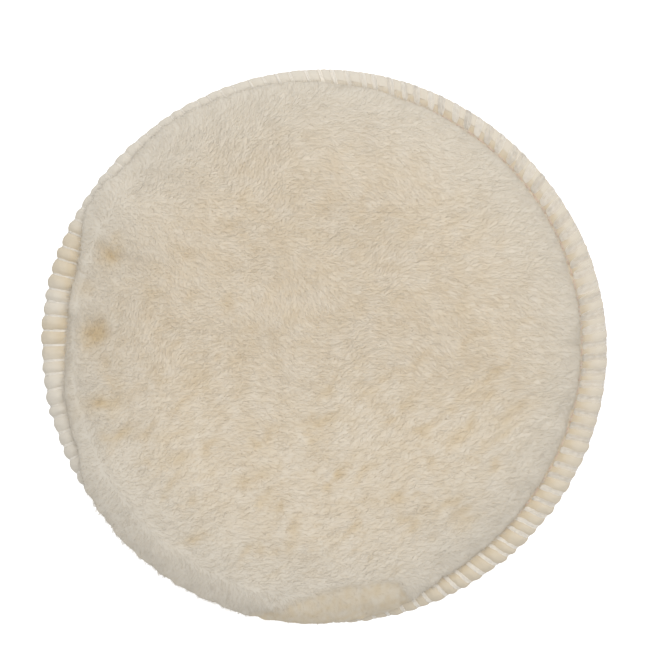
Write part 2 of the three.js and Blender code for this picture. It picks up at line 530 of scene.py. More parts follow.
# %% [markdown]
# ## Locks
# The body gets finer squares and then its relief: broad soft locks, finer ones between them, a
# dip at each parting, and the step down to the short wool.

# %% Relief of the body
LOCK_HEIGHT = 0.20 * MM
FINE_HEIGHT = 0.05 * MM
PARTING_DEPTH = 0.5 * MM
HANGING_HEIGHT = 0.22 * MM    # the locks that hang down the side
SHORN_DEPTH = 0.7 * MM
FUZZY = [  # (degrees, how far the wool's tips reach out over the seam, from 0 to 1)
    (0, 0.3), (55, 0.3), (80, 0.7), (100, 1.0), (150, 1.0), (158, 0.5), (185, 0.6), (200, 0.9),
    (250, 0.8), (300, 1.0), (325, 0.9), (345, 0.5),
]


def subdivide(made, levels):
    live = made.modifiers.new("finer", "SUBSURF")
    live.levels = levels
    live.render_levels = levels
    made.data = mesh_now(made, live)


subdivide(fleece, 2)
seat_edge(fleece, 240)
places, outward = points_of(fleece), read_points(fleece, "normal")
above_skin = falloff(places[:, 2], SKIN_TOP + 1.0 * MM, SKIN_TOP + 4.0 * MM)
opened, worn = parted(places), shorn(places)
relief = LOCK_HEIGHT * noise_at(places, 9 * MM, 7) + FINE_HEIGHT * noise_at(places, 3 * MM, 8)
sideways = falloff(-np.abs(outward[:, 2]), -0.85, -0.45)
relief += HANGING_HEIGHT * sideways * noise_at(places * (1.0, 1.0, 0.35), 2.6 * MM, 17)
relief -= PARTING_DEPTH * opened
places = places + outward * (above_skin * relief)[:, None]
room = np.maximum(places[:, 2] - SKIN_TOP - 2.5 * MM, 0)
places[:, 2] -= worn * above_skin * np.minimum(SHORN_DEPTH, room)
move_points(fleece, places)
lean_to, lying = combing(places)
inset = rim_radius(np.arctan2(places[:, 1], places[:, 0])) - np.hypot(places[:, 0], places[:, 1])
mark(fleece, "combing", lean_to, "FLOAT_VECTOR")
mark(fleece, "lying", lying)
fuzzy = round_trip(FUZZY, np.arctan2(places[:, 1], places[:, 0]))
near_rim = (0.9 - 0.7 * fuzzy) * falloff(-inset, -9 * MM, -2.5 * MM)
mark(fleece, "shorter", np.maximum(worn, near_rim))
mark(fleece, "parted", opened)
streaks = noise_at(places * (1.0, 0.45, 1.0), 1.3 * MM, 9)
mark(fleece, "worn", worn * np.clip(0.66 + 0.40 * streaks, 0, 1))
mark(fleece, "grows", falloff(places[:, 2], SKIN_TOP + 0.3 * MM, SKIN_TOP + 0.9 * MM))
print("body", triangles(fleece), "triangles")

# %% [markdown]
# ## One fibre, grown many thousand times
# A fibre is a thin tapered tube that bends over towards its tip. The tree makes a few bends of
# it, scatters points over the body, leans each one along the combing with a little stray, and
# stands a fibre on it. A particle system could do the same, but it can't be kept as a mesh.

# %% The tree that grows wool
FIBRE_STEPS = 3               # points along one fibre
FIBRE_SIDES = 3
BENDS = [(0.55, 0.05), (0.85, -0.09), (1.15, 0.07), (1.4, -0.04)]  # (bend, sway) of each sort


def one_fibre(tree, bend, sway, slimness):
    """A fibre one unit long that leaves its root along Z and bends over towards X."""
    line = step(tree, "GeometryNodeCurvePrimitiveLine", End=(0, 0, 1)).outputs["Curve"]
    line = step(tree, "GeometryNodeResampleCurve", Curve=line, Count=FIBRE_STEPS).outputs[0]
    along = step(tree, "GeometryNodeSplineParameter").outputs["Factor"]
    swing = maths(tree, "MULTIPLY", along, bend)
    sideways = maths(tree, "DIVIDE", maths(tree, "SUBTRACT", 1.0, maths(tree, "COSINE", swing)),
                     bend)
    upwards = maths(tree, "DIVIDE", maths(tree, "SINE", swing), bend)
    wave = maths(tree, "MULTIPLY", maths(tree, "SINE", maths(tree, "MULTIPLY", along, 5.0)), sway)
    place = step(tree, "ShaderNodeCombineXYZ", X=sideways, Y=wave, Z=upwards).outputs[0]
    line = step(tree, "GeometryNodeSetPosition", Geometry=line, Position=place).outputs[0]
    line = step(tree, "GeometryNodeStoreNamedAttribute", {"data_type": "FLOAT"}, Geometry=line,
                Name="along", Value=along).outputs[0]
    thick = maths(tree, "MULTIPLY", spanned(tree, along, 0.25, 1.0, 1.0, 0.18), slimness)
    round_section = step(tree, "GeometryNodeCurvePrimitiveCircle", Resolution=FIBRE_SIDES,
                         Radius=1.0).outputs["Curve"]
    round_section = step(tree, "GeometryNodeTransform", Geometry=round_section,
                         Rotation=(0, 0, -TURN / 12), Scale=(1, 0.4, 1)).outputs[0]
    tube = tube_of(tree, line, round_section, Scale=thick)
    return step(tree, "GeometryNodeGeometryToInstance", in0=tube).outputs[0]


def wool_tree():
    tree, given, result = new_tree("grow wool", "GeometryNodeTree", [
        ("Body", "NodeSocketGeometry", None),
        ("Fibres per area", "NodeSocketFloat", 1e6),
        ("Length", "NodeSocketFloat", 5 * MM),
        ("Length spread", "NodeSocketFloat", 0.3),
        ("Slimness", "NodeSocketFloat", 0.018),
        ("Lean", "NodeSocketFloat", 1.0),
        ("Stray", "NodeSocketFloat", 0.3),
        ("Seed", "NodeSocketInt", 1),
        ("Finish", "NodeSocketMaterial", None),
    ], [("Wool", "NodeSocketGeometry")])
    closed = maths(tree, "MULTIPLY_ADD", field(tree, "parted"), -0.35, 1.0)
    share = maths(tree, "MULTIPLY", field(tree, "grows"), closed)
    roots = scatter(tree, given["Body"], given["Fibres per area"], share, given["Seed"])
    comb = field(tree, "combing", "FLOAT_VECTOR")
    normal = roots.outputs["Normal"]
    upright = vectors(tree, "DOT_PRODUCT", comb, normal)
    flat = vectors(tree, "SUBTRACT", comb, scaled(tree, normal, upright))
    flat = vectors(tree, "NORMALIZE", flat)
    loose = step(tree, "FunctionNodeRandomValue", {"data_type": "FLOAT_VECTOR"},
                 in0=(-1, -1, -1), in1=(1, 1, 1), in8=given["Seed"]).outputs[0]
    sideways = vectors(tree, "ADD", flat, scaled(tree, loose, given["Stray"]))
    lean = maths(tree, "MULTIPLY", given["Lean"], random_between(tree, 0.75, 1.15, 21))
    lean = maths(tree, "MULTIPLY", lean, field(tree, "lying"))
    standing = scaled(tree, normal, maths(tree, "COSINE", lean))
    rise = vectors(tree, "ADD", standing, scaled(tree, sideways, maths(tree, "SINE", lean)))
    turned = step(tree, "FunctionNodeAlignRotationToVector", {"axis": "Z"}, Vector=rise)
    turned = step(tree, "FunctionNodeAlignRotationToVector", {"axis": "X", "pivot_axis": "Z"},
                  Rotation=turned.outputs[0], Vector=sideways)
    roll = step(tree, "ShaderNodeCombineXYZ", Z=random_between(tree, -0.15, 0.15, 22))
    roll = step(tree, "FunctionNodeEulerToRotation", Euler=roll.outputs[0]).outputs[0]
    turned = step(tree, "FunctionNodeRotateRotation", {"rotation_space": "LOCAL"},
                  Rotation=turned.outputs[0], Rotate_By=roll).outputs[0]
    sorts = step(tree, "GeometryNodeJoinGeometry")
    for bend, sway in BENDS:
        fibre = one_fibre(tree, bend, sway, given["Slimness"])
        tree.links.new(fibre, sorts.inputs[0])
    spread = random_between(tree, -1.0, 1.0, 23)
    size = maths(tree, "MULTIPLY_ADD", spread, given["Length spread"], 1.0)
    short = maths(tree, "MULTIPLY_ADD", field(tree, "shorter"), -0.5, 1.0)
    size = maths(tree, "MULTIPLY", maths(tree, "MULTIPLY", size, short), given["Length"])
    grown = step(tree, "GeometryNodeInstanceOnPoints", Points=roots.outputs["Points"],
                 Instance=sorts.outputs[0], Pick_Instance=True, Rotation=turned, Scale=size)
    tree.links.new(tinted_mesh(tree, grown, 24, given["Finish"]), result["Wool"])
    return tree


grow_wool = wool_tree()
print("wool tree has", len(grow_wool.nodes), "nodes")


# %% [markdown]
# ## The colour of wool
# Washed wool is a warm cream that greys a little where it is handled, at the rim, and is
# yellower near the skin, where the grease was. One group of nodes works out that colour from
# the place on the pad, and every wool finish uses it with its own depth.

# %% Shared wool colour
CREAM = (0.800, 0.729, 0.617, 1)
GREY_CREAM = (0.762, 0.716, 0.634, 1)
OCHRE = (0.660, 0.510, 0.290, 1)
TRODDEN_AND_SHADE = (0.700, 0.598, 0.440, 1)
GREY_FROM = 0.55 * PAD_RADIUS   # where the wool starts to grey towards the rim
GREY_TO = 0.97 * PAD_RADIUS


def wool_colour_group():
    group, given, result = new_tree("wool colour", "ShaderNodeTree", [
        ("Depth", "NodeSocketFloat", 0.0),
        ("Tint", "NodeSocketFloat", 0.5),
        ("Worn", "NodeSocketFloat", 0.0),
    ], [("Color", "NodeSocketColor")])
    place = step(group, "ShaderNodeTexCoord").outputs["Object"]
    flat = step(group, "ShaderNodeVectorMath", {"operation": "MULTIPLY"}, in0=place,
                in1=(1, 1, 0)).outputs[0]
    far = step(group, "ShaderNodeVectorMath", {"operation": "LENGTH"}, in0=flat)
    rim = step(group, "ShaderNodeMapRange", {"interpolation_type": "SMOOTHSTEP"},
               in0=far.outputs["Value"], in1=GREY_FROM, in2=GREY_TO).outputs[0]
    mottle = step(group, "ShaderNodeTexNoise", Vector=place, Scale=230.0, Detail=3.0)
    mottle = spanned(group, mottle.outputs[0], 0.35, 0.68)
    grey = maths(group, "MULTIPLY", rim, 0.85)
    pale = step(group, "ShaderNodeMix", {"data_type": "RGBA"}, in0=grey, in6=CREAM,
                in7=GREY_CREAM).outputs[2]
    warm = maths(group, "MULTIPLY", maths(group, "SUBTRACT", 1.0, rim), 0.22)
    warm = maths(group, "MULTIPLY", warm, mottle)
    warm = maths(group, "ADD", warm, given["Depth"])
    warm = step(group, "ShaderNodeClamp", in0=warm).outputs[0]
    tone = step(group, "ShaderNodeMix", {"data_type": "RGBA"}, in0=warm, in6=pale,
                in7=OCHRE).outputs[2]
    # The worn mark mixes in the darker trodden tone: real wear on the fleece; on the sleeve, stain
    # and, at its lower right, painted shade.
    tone = step(group, "ShaderNodeMix", {"data_type": "RGBA"}, in0=given["Worn"], in6=tone,
                in7=TRODDEN_AND_SHADE).outputs[2]
    light = spanned(group, given["Tint"], low=0.96, high=1.04)
    tone = step(group, "ShaderNodeHueSaturation", Value=light, Color=tone).outputs[0]
    group.links.new(tone, result["Color"])
    return group


wool_colour = wool_colour_group()


def new_material(name, roughness, sheen=0.0, **plain):
    """A material with its shader, whose constant values are set on the shader itself."""
    made = bpy.data.materials.new(name)
    made.use_nodes = True
    shader = made.node_tree.nodes["Principled BSDF"]
    shader.inputs["Roughness"].default_value = roughness
    shader.inputs["Sheen Weight"].default_value = sheen
    for key, value in plain.items():
        shader.inputs[key.replace("_", " ")].default_value = value
    return made, made.node_tree, shader


def attribute(tree, name):
    return step(tree, "ShaderNodeAttribute", {"attribute_name": name}).outputs["Fac"]


def place_on_pad(tree):
    return step(tree, "ShaderNodeTexCoord").outputs["Object"]


def patches(tree, place, scale, detail, **more):
    """Soft patches from 0 to 1, finer where scale is greater."""
    return step(tree, "ShaderNodeTexNoise", Vector=place, Scale=scale, Detail=detail,
                **more).outputs[0]


def paint(tree, shader, colour):
    tree.links.new(colour, shader.inputs["Base Color"])


def bumpy(tree, shader, height, strength, distance):
    bump = step(tree, "ShaderNodeBump", Strength=strength, Distance=distance, Height=height)
    tree.links.new(bump.outputs[0], shader.inputs["Normal"])


def lit(tree, colour, value):
    """A colour made darker or lighter by value."""
    return step(tree, "ShaderNodeHueSaturation", Value=value, Color=colour).outputs[0]


def wool_tone(tree, **fed):
    return step(tree, "ShaderNodeGroup", {"node_tree": wool_colour}, **fed).outputs[0]


def wool_material(name, root_depth, tip_depth):
    """Wool whose fibres are deeper in colour at the root than at the tip."""
    made, tree, shader = new_material(name, 0.85, sheen=0.25, Specular_IOR_Level=0.2)
    along = attribute(tree, "along")
    depth = spanned(tree, along, 0.0, 0.7, root_depth, tip_depth)
    depth = maths(tree, "MULTIPLY_ADD", attribute(tree, "parted"), 0.58, depth)
    paint(tree, shader, wool_tone(tree, Depth=depth, Tint=attribute(tree, "tint"),
                                  Worn=attribute(tree, "worn")))
    return made


wool_finish = wool_material("wool", 0.22, 0.0)


def body_material():
    made, tree, shader = new_material("wool near the skin", 0.95, Specular_IOR_Level=0.1)
    depth = maths(tree, "MULTIPLY_ADD", attribute(tree, "parted"), 0.70, 0.06)
    paint(tree, shader, wool_tone(tree, Depth=depth, Worn=attribute(tree, "worn")))
    bumpy(tree, shader, patches(tree, place_on_pad(tree), 2500.0, 4.0), 0.25, 0.2 * MM)
    return made


fleece.data.materials.clear()
fleece.data.materials.append(body_material())

# %% [markdown]
# ## Growing the fleece
# The wool is grown in several passes with their own seeds, shorter and denser first, so that no
# piece gets too heavy to handle.

# %% Grow the wool
PASSES = [  # (name, fibres in thousands, length in mm, slimness, lean, stray)
    ("fleece_undercoat_a", 12.1, 1.8, 0.032, 1.05, 0.75),
    ("fleece_undercoat_b", 12.1, 1.9, 0.030, 1.10, 0.75),
    ("fleece_locks_a", 12.1, 2.1, 0.026, 1.15, 0.65),
    ("fleece_locks_b", 12.1, 2.3, 0.023, 1.20, 0.60),
    ("fleece_locks_c", 12.1, 2.5, 0.020, 1.25, 0.55),
    ("fleece_tips", 12.1, 2.8, 0.016, 1.25, 0.60),
]
AREA = 1.15 * math.pi * NEEDLE_RADIUS ** 2
for number, (name, thousands, length, slimness, lean, stray) in enumerate(PASSES):
    wool = run_tree(name, fleece, grow_wool, {
        "Fibres per area": thousands * 1000 / AREA, "Length": length * MM,
        "Slimness": slimness, "Lean": lean, "Stray": stray, "Seed": 11 + number,
        "Finish": wool_finish})
    wool.visible_shadow = False
    keep(wool, "wool", "wool_pile")
keep(fleece, "wool", "wool_pile")


# %% [markdown]
# ## The seam's own ways
# An overlock seam is sewn fast round a tight curve, so its stitches lean by different amounts,
# some are pulled tight into the wool and some lie loose in wide bright bands. Four tables round
# the rim say where: the lean, the looseness, how far the wool puffs out between stitches and how
# ochre it is. The ochre table also tints the whole band, and at the lower right, from 290 to 345
# degrees, that tint is painted shade. Their knots are set for one pad, and don't come from a rule.

# %% Stitch by stitch
LEAN_OUT = [  # (degrees, how many stitches a thread leans by on its way to the edge)
    (0, 0.36), (40, 0.50), (75, 0.55), (120, 0.45), (150, 0.15), (165, 0.02), (200, 0.10),
    (280, 0.45), (304, 0.72), (325, 0.50), (345, 0.20),
]
LOOSENESS = [  # (degrees, from 0, a tight thin thread, to 1, a loose wide one)
    (0, 0.95), (40, 1.0), (75, 0.60), (95, 0.15), (110, 0.0), (150, 0.0), (180, 0.04), (215, 0.12),
    (285, 0.30), (315, 0.40), (335, 0.85), (350, 1.0),
]
PUFF = [  # (degrees, how far the wool swells between the stitches, in mm)
    (0, 0.90), (12, 0.60), (30, 0.38), (65, 0.32), (110, 0.35), (145, 0.70), (158, 1.05),
    (195, 1.10), (215, 0.90), (270, 0.50), (298, 1.00), (335, 1.00),
]
# This stain table is partly painted shade: its knots from 290 to 345 degrees are raised to darken
# the band at the lower right.
STAIN_AND_SHADE = [  # (degrees, how ochre the wool is along the needle line)
    (0, 0.85), (40, 0.80), (70, 0.70), (90, 0.15), (145, 0.10), (152, 0.4), (157, 1.5),
    (166, 1.4), (171, 0.25), (176, 1.5), (181, 1.2), (188, 0.1), (215, 0.0), (258, 0.5),
    (270, 1.0), (290, 1.4), (305, 1.5), (325, 1.3), (345, 1.1),
]
dice = np.random.default_rng(44)
STITCH_SHIFT = dice.uniform(-0.13, 0.13, STITCHES)
STITCH_SIZE = dice.uniform(0.72, 1.25, STITCHES)
GROUND_RIM_BOTTOM = GROUND_TOP - (GROUND_TOP - GROUND_BOTTOM) * 0.162
RIM_MIDDLE = (SKIN_TOP + GROUND_RIM_BOTTOM) / 2
HOLE_STEP = TURN / STITCHES


def stitch_angle(stitch, out):
    """The direction of a stitch's thread. out is 0 at the needle line and 1 at the edge."""
    turn = np.floor(stitch).astype(int) % STITCHES
    plain = (stitch + STITCH_SHIFT[turn]) * HOLE_STEP
    return plain + round_trip(LEAN_OUT, plain) * out * HOLE_STEP


def rim_section(angle, puff):
    """The rim's outer side at angle, from inside the needle line over the edge to underneath,
    as (radius, height) pairs. puff is 0 under a thread and 1 midway between two."""
    rim = rim_radius(angle)
    needle = NEEDLE_RADIUS + 0 * angle
    swell = puff * round_trip(PUFF, angle) * MM
    under = GROUND_RIM_BOTTOM
    return [
        (needle - 1.6 * MM, SKIN_TOP + 0.40 * MM + 0 * swell),
        (needle - 0.6 * MM, SKIN_TOP + 0.85 * MM + 0.15 * swell),
        (needle + 0.1 * MM, SKIN_TOP + 0.66 * MM + 0.30 * swell),
        (needle + 0.8 * MM, SKIN_TOP + 0.68 * MM + 0.65 * swell),
        (needle + 2.0 * MM, SKIN_TOP + 0.75 * MM + 0.95 * swell),
        (rim - 3.2 * MM, SKIN_TOP + 0.72 * MM + 1.05 * swell),
        (rim - 1.8 * MM + 0.1 * swell, SKIN_TOP + 0.30 * MM + 0.95 * swell),
        (rim - 0.95 * MM + 0.4 * swell, SKIN_TOP - 0.30 * MM + 0.60 * swell),
        (rim - 0.65 * MM + 0.8 * swell, RIM_MIDDLE + 0.10 * MM + 0.1 * swell),
        (rim - 0.75 * MM + 0.7 * swell, RIM_MIDDLE - 0.80 * MM - 0.3 * swell),
        (rim - 1.35 * MM + 0.3 * swell, under - 0.25 * MM - 0.3 * swell),
    ]


def smooth_rows(rows, count):
    """Rows of points on one smooth line through the given rows, evenly counted."""
    given = np.array([np.broadcast_arrays(*row) for row in rows])
    at = np.linspace(0, len(given) - 1, count)
    low = np.clip(np.floor(at).astype(int), 0, len(given) - 2)
    t = (at - low)[:, None, None]
    a, b = given[np.maximum(low - 1, 0)], given[low]
    c, d = given[low + 1], given[np.minimum(low + 2, len(given) - 1)]
    return 0.5 * (2 * b + (c - a) * t + (2 * a - 5 * b + 4 * c - d) * t ** 2
                  + (3 * b - a - 3 * c + d) * t ** 3)


# %% [markdown]
# ## Wool pressed under the seam
# Outside the needle line the fleece is squeezed flat and wrapped round the skin's edge, and it
# swells up between the threads. It is one closed sleeve. Its puffs follow the same stitch
# angles as the threads, so a valley always runs under a thread.

# %% The pressed sleeve
SLEEVE_ROWS = 30
SLEEVE_COLUMNS = STITCHES * 10
SLEEVE_INSIDE = 1.55 * MM     # how far its inner wall is inside the rim


def puff_at(angle, out):
    """How much the sleeve swells at angle, from 0 in a stitch's valley to 1 between two."""
    nominal = angle / HOLE_STEP - round_trip(LEAN_OUT, angle) * out
    whole = np.floor(nominal)
    first = whole.astype(int) % STITCHES
    second = (first + 1) % STITCHES
    start, stop = STITCH_SHIFT[first], 1 + STITCH_SHIFT[second]
    share = (nominal - whole - start) / (stop - start)
    size = np.where(share < 0, STITCH_SIZE[first - 1], STITCH_SIZE[first])
    size = np.where(share > 1, STITCH_SIZE[second], size)
    return np.abs(np.sin(math.pi * share)) ** 0.62 * size


around = np.linspace(0, TURN, SLEEVE_COLUMNS, endpoint=False)
outer = []
for row in range(11):
    out = np.clip((row - 2) / 6, 0, 1)
    outer.append(rim_section(around, puff_at(around, out))[row])
outer = smooth_rows(outer, SLEEVE_ROWS)
inner_wall = rim_radius(around) - SLEEVE_INSIDE
inner = [(inner_wall, outer[-1][1] + 0.2 * MM), (inner_wall, SKIN_TOP + 0.02 * MM + 0 * around),
         (NEEDLE_RADIUS - 1.6 * MM + 0 * around, SKIN_TOP + 0.02 * MM + 0 * around)]
section = list(outer) + inner
points = [(r[j] * math.cos(a), r[j] * math.sin(a), z[j])
          for r, z in section for j, a in enumerate(around)]
sleeve = make_mesh("pressed_fleece", points,
                   ring_faces(len(section), SLEEVE_COLUMNS, wrap_rows=True))
places = points_of(sleeve)
fuzz = 0.10 * noise_at(places, 1.4 * MM, 12) + 0.05 * noise_at(places, 0.5 * MM, 13)
places += read_points(sleeve, "normal") * (fuzz * MM)[:, None]
move_points(sleeve, places)
rows_of_points = np.repeat(np.arange(len(section)), SLEEVE_COLUMNS)
angles_of_points = np.tile(around, len(section))
near_needle = falloff(-np.abs(rows_of_points - SLEEVE_ROWS * 0.24), -SLEEVE_ROWS * 0.26, 0)
in_gap = 0.25 + 0.75 * np.clip(puff_at(angles_of_points, 0.0), 0, 1)
patchy = np.clip(0.75 + 0.5 * noise_at(places, 1.1 * MM, 14), 0, 1)
stain_and_shade = round_trip(STAIN_AND_SHADE, angles_of_points)
# Painted shade and stain, kept in the worn mark: the square of the table tints the whole band, and
# at the lower right that tint is painted shade; the second part is ochre along the needle line.
band_stain_and_shade = 0.22 * stain_and_shade * stain_and_shade
mark(sleeve, "worn", np.clip(band_stain_and_shade + stain_and_shade * near_needle * in_gap * patchy, 0, 1))
flat = NEEDLE_RADIUS * np.stack([np.cos(angles_of_points), np.sin(angles_of_points)], 1)
mark(sleeve, "pressed", np.column_stack([flat, rows_of_points * 0.05 * MM]), "FLOAT_VECTOR")
print("sleeve", triangles(sleeve), "triangles")


# %% [markdown]
# ## The pressed wool's finish
# Squeezed fibres lie side by side from the needle line to the edge, so the bump is drawn out
# that way, and the wool is ochre where the needle pulled the deep wool up. From 290 to 345
# degrees the same mark also darkens the band as painted shade.

# %% Finish of the sleeve
def pressed_material():
    made, tree, shader = new_material("pressed wool", 0.85, sheen=0.25, Specular_IOR_Level=0.2)
    # The worn mark holds the sleeve's ochre stain, and painted shade at its lower right.
    sleeve_stain_and_shade = attribute(tree, "worn")
    paint(tree, shader, wool_tone(tree, Worn=sleeve_stain_and_shade,
                                  Depth=maths(tree, "MULTIPLY_ADD", sleeve_stain_and_shade, 0.50, 0.07)))
    lay = step(tree, "ShaderNodeAttribute", {"attribute_name": "pressed"}).outputs["Vector"]
    fine = maths(tree, "MULTIPLY", patches(tree, lay, 3600.0, 2.0), 0.4)
    height = maths(tree, "ADD", fine, patches(tree, lay, 1300.0, 2.0))
    bumpy(tree, shader, height, 0.5, 0.25 * MM)
    return made


sleeve.data.materials.append(pressed_material())
keep(sleeve, "wool", "wool_pile")


# %% [markdown]
# ## Thread
# Sewing thread is a few yarns twisted together, and the loopers' thread here is a soft bundle of
# filaments that spreads where nothing pulls on it. Each thread is one closed line round the rim,
# stitch after stitch. A tree then lays its yarns along that line: side by side where it is
# loose, and wound into a tight round cord where it is not.

# %% The tree that plies a thread
def ply_tree():
    tree, given, result = new_tree("ply a thread", "GeometryNodeTree", [
        ("Route", "NodeSocketGeometry", None),
        ("Yarns", "NodeSocketInt", 3),
        ("Yarn radius", "NodeSocketFloat", 0.1 * MM),
        ("Turns", "NodeSocketFloat", 100.0),
        ("Flatness", "NodeSocketFloat", 0.4),
        ("Sides", "NodeSocketInt", 4),
        ("Finish", "NodeSocketMaterial", None),
    ], [("Thread", "NodeSocketGeometry")])
    line = step(tree, "GeometryNodeMeshToCurve", Mesh=given["Route"]).outputs[0]
    copies = step(tree, "GeometryNodeDuplicateElements", {"domain": "SPLINE"}, Geometry=line,
                  Amount=given["Yarns"])
    along = step(tree, "GeometryNodeSplineParameter").outputs["Factor"]
    place = maths(tree, "DIVIDE", copies.outputs["Duplicate Index"], given["Yarns"])
    turn = maths(tree, "MULTIPLY", maths(tree, "ADD", place,
                                         maths(tree, "MULTIPLY", along, given["Turns"])), TURN)
    spread = field(tree, "spread")
    swing = maths(tree, "PINGPONG", maths(tree, "MULTIPLY", turn, 4 / TURN), 2.0)
    flat = maths(tree, "MULTIPLY", maths(tree, "SUBTRACT", swing, 1.0), spread)
    least = maths(tree, "MINIMUM", maths(tree, "MULTIPLY", spread, given["Flatness"]), spread)
    tall = maths(tree, "MULTIPLY", maths(tree, "SINE", turn), least)
    across = scaled(tree, field(tree, "side", "FLOAT_VECTOR"), flat)
    offset = vectors(tree, "ADD", across, scaled(tree, field(tree, "up", "FLOAT_VECTOR"), tall))
    laid = step(tree, "GeometryNodeSetPosition", Geometry=copies.outputs["Geometry"],
                Offset=offset).outputs[0]
    laid = step(tree, "GeometryNodeStoreNamedAttribute", {"data_type": "FLOAT"}, Geometry=laid,
                Name="yarn", Value=place).outputs[0]
    ring = step(tree, "GeometryNodeCurvePrimitiveCircle", Resolution=given["Sides"],
                Radius=given["Yarn radius"]).outputs["Curve"]
    tube = tube_of(tree, laid, ring)
    soft = step(tree, "GeometryNodeSetShadeSmooth", Geometry=tube).outputs[0]
    tree.links.new(real_mesh(tree, soft, given["Finish"]), result["Thread"])
    return tree


ply_thread = ply_tree()


def thread_material(name, colour, roughness, sheen):
    """Spun thread: its yarns differ a little in tone, and fine filaments catch the light."""
    made, tree, shader = new_material(name, roughness, sheen=sheen, Specular_IOR_Level=0.35)
    place = place_on_pad(tree)
    tone = maths(tree, "ADD", maths(tree, "MULTIPLY", patches(tree, place, 900.0, 2.0), 0.7),
                 maths(tree, "MULTIPLY", attribute(tree, "yarn"), 0.3))
    paint(tree, shader, lit(tree, colour, spanned(tree, tone, 0.2, 0.8, 0.90, 1.06)))
    bumpy(tree, shader, patches(tree, place, 6000.0, 2.0), 0.35, 0.05 * MM)
    return made


looper_finish = thread_material("looper thread", (0.94, 0.88, 0.78, 1), 0.5, 0.5)
needle_finish = thread_material("needle thread", (0.74, 0.57, 0.46, 1), 0.5, 0.3)

# %% [markdown]
# ## The three routes
# A looper's thread comes up at the edge, crosses to the needle line, turns round the needle
# thread there and goes back beside itself, then runs to the next stitch underneath. It lies on
# the same section as the sleeve, in the valley, half a thread above it.

# %% Thread routes
LEG_ROWS = (2.2, 3.0, 4.2, 5.4, 6.4, 7.3, 8.2, 9.2)   # where on the section a leg has points
UNDER_DEPTH = 0.30 * MM


def on_section(angle, row, puff, lift):
    """A point on the rim's section, lifted off it, with its side and up directions."""
    section = rim_section(np.array([angle]), np.array([puff]))
    at = np.array([[float(r[0]), float(z[0])] for r, z in section])
    low = min(int(row), len(at) - 2)
    place = at[low] + (at[low + 1] - at[low]) * (row - low)
    ahead = at[min(low + 1, len(at) - 1)] - at[max(low - 1, 0)]
    ahead /= np.hypot(*ahead)
    off = np.array([-ahead[1], ahead[0]])
    place = place + off * lift
    c, s = math.cos(angle), math.sin(angle)
    return ((place[0] * c, place[0] * s, place[1]), (-s, c, 0),
            (off[0] * c, off[0] * s, off[1]))


def bulge_of(out):
    """How far a loose thread spreads, from 0 at the needle line to 1 halfway out."""
    return math.sin(math.pi * min(0.06 + out * 0.80, 1)) ** 0.55


def stitch_legs(stitch, below):
    """One stitch of a looper's thread: in to the needle line and back out again."""
    points = []
    looseness = float(round_trip(LOOSENESS, np.array(stitch * HOLE_STEP)))
    gap = 0.02 + 0.115 * looseness
    for leg, rows in ((-1, reversed(LEG_ROWS)), (1, LEG_ROWS)):
        for row in rows:
            out = min(max((row - 2) / 6, 0), 1)
            middle = float(stitch_angle(np.array(float(stitch)), out))
            angle = middle + leg * (0.015 + gap * bulge_of(out)) * HOLE_STEP
            bulge = bulge_of(out)
            spread = (0.09 + 0.72 * looseness * bulge) * MM
            sunk = 0.14 * max(out - 0.55, 0) / 0.45
            if below:
                place = under_rim(angle, out)
            else:
                high = 0.27 + 0.11 * min(looseness / 0.3, 1) - sunk
                place = on_section(angle, row, 0.15 + 0.10 * looseness, high * MM)
            points.append((*place, spread))
    return points


def under_rim(angle, out):
    """A point on the rim's underside. out is 0 at the needle line and 1 at the edge."""
    rim = float(rim_radius(np.array(angle))) - 1.2 * MM
    radius = NEEDLE_RADIUS + out * (rim - NEEDLE_RADIUS)
    height = GROUND_RIM_BOTTOM - UNDER_DEPTH
    if out > 0.95:
        height += 0.25 * MM
    c, s = math.cos(angle), math.sin(angle)
    return (radius * c, radius * s, height), (-s, c, 0), (0, 0, -1)


def needle_stitch(stitch, below):
    """One stitch of the needle's thread: down through its hole, up again, and along."""
    hole = float(stitch_angle(np.array(float(stitch)), 0.0))
    following = float(stitch_angle(np.array(float(stitch + 1)), 0.0))
    if following < hole:
        following += TURN
    stitched = [(-0.16, 0.70), (-0.06, -0.9), (0.0, -1.9), (0.06, -0.9), (0.16, 0.70)]
    stitched += [(0.35, 0.98), (0.65, 0.98)]
    points = []
    for share, height in stitched:
        angle = hole + share * (following - hole)
        c, s = math.cos(angle), math.sin(angle)
        at = (NEEDLE_RADIUS * c, NEEDLE_RADIUS * s, SKIN_TOP + height * MM)
        points.append((at, (c, s, 0), (0, 0, 1), 0.12 * MM))
    return points


def thread_route(name, one_stitch, below):
    """The closed line of a thread, with the values that the plying tree reads."""
    laid = [p for stitch in range(STITCHES) for p in one_stitch(stitch, below)]
    count = len(laid)
    mesh = bpy.data.meshes.new(name)
    mesh.from_pydata([p[0] for p in laid], [(i, (i + 1) % count) for i in range(count)], [])
    route = new_object(name, mesh)
    mark(route, "side", [p[1] for p in laid], "FLOAT_VECTOR")
    mark(route, "up", [p[2] for p in laid], "FLOAT_VECTOR")
    mark(route, "spread", [p[3] for p in laid])
    step_lengths = np.linalg.norm(np.diff(points_of(route), axis=0), axis=1)
    print(name, "is", round(float(step_lengths.sum()), 2), "m of thread")
    return route


